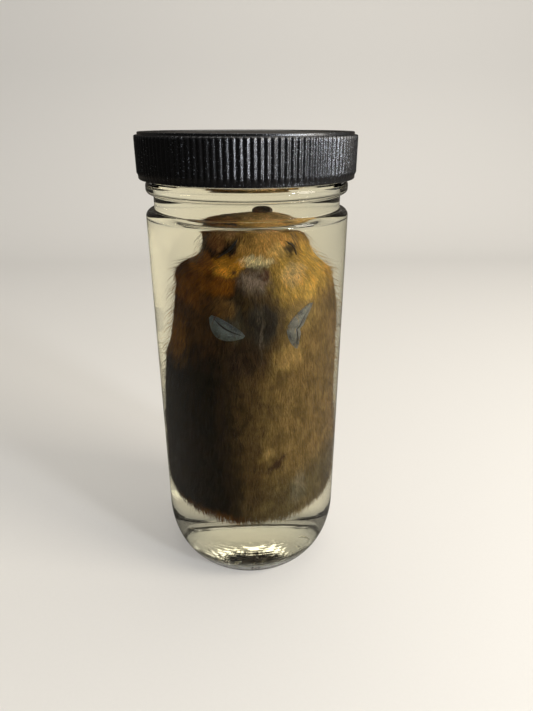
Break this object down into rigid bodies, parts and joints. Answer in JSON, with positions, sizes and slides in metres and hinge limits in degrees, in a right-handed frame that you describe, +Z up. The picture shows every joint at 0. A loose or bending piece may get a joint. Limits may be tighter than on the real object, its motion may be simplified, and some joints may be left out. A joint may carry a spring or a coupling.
{
  "type": "specimen jar",
  "caption": "Tall clear glass specimen jar with a black ribbed screw cap and liner, holding a small furred animal upright in pale preserving fluid.",
  "frame": {"origin": "middle of the jar's flat standing ring, on the surface the jar stands on", "axes": "+Z up the jar's axis to the cap, -Y towards the side that the animal's back faces, +X to the right seen from there"},
  "size_m": [0.073, 0.073, 0.1655],
  "materials": {
    "clear_glass": "gloss",
    "black_plastic": "satin",
    "pulp_board": "matte",
    "fluid": "gloss",
    "fur": "matte",
    "bare_skin": "satin"
  },
  "bodies": {
    "jar": {"glass_jar": "clear_glass", "preserving_fluid": "fluid", "specimen_trunk": "fur", "specimen_head": "fur", "nose_pad": "bare_skin", "left_ear": "bare_skin", "right_ear": "bare_skin", "left_forepaw": "bare_skin", "right_forepaw": "bare_skin", "left_hind_foot": "bare_skin", "right_hind_foot": "bare_skin"},
    "liner": {"cap_liner": "pulp_board"},
    "cap": {"screw_cap": "black_plastic"}
  },
  "joints": [
    {"name": "cap_lift", "type": "slide", "parent": "jar", "child": "liner", "axis": [0, 0, 1], "range_m": [0, 0.0127]},
    {"name": "cap_turn", "type": "hinge", "parent": "liner", "child": "cap", "pos_m": [0, 0, 0.1513], "axis": [0, 0, 1], "range_deg": [0, 1080]}
  ],
  "couplings": [
    {"joint": "cap_lift", "follows": "cap_turn", "m_per_rad": 0.00067371}
  ]
}
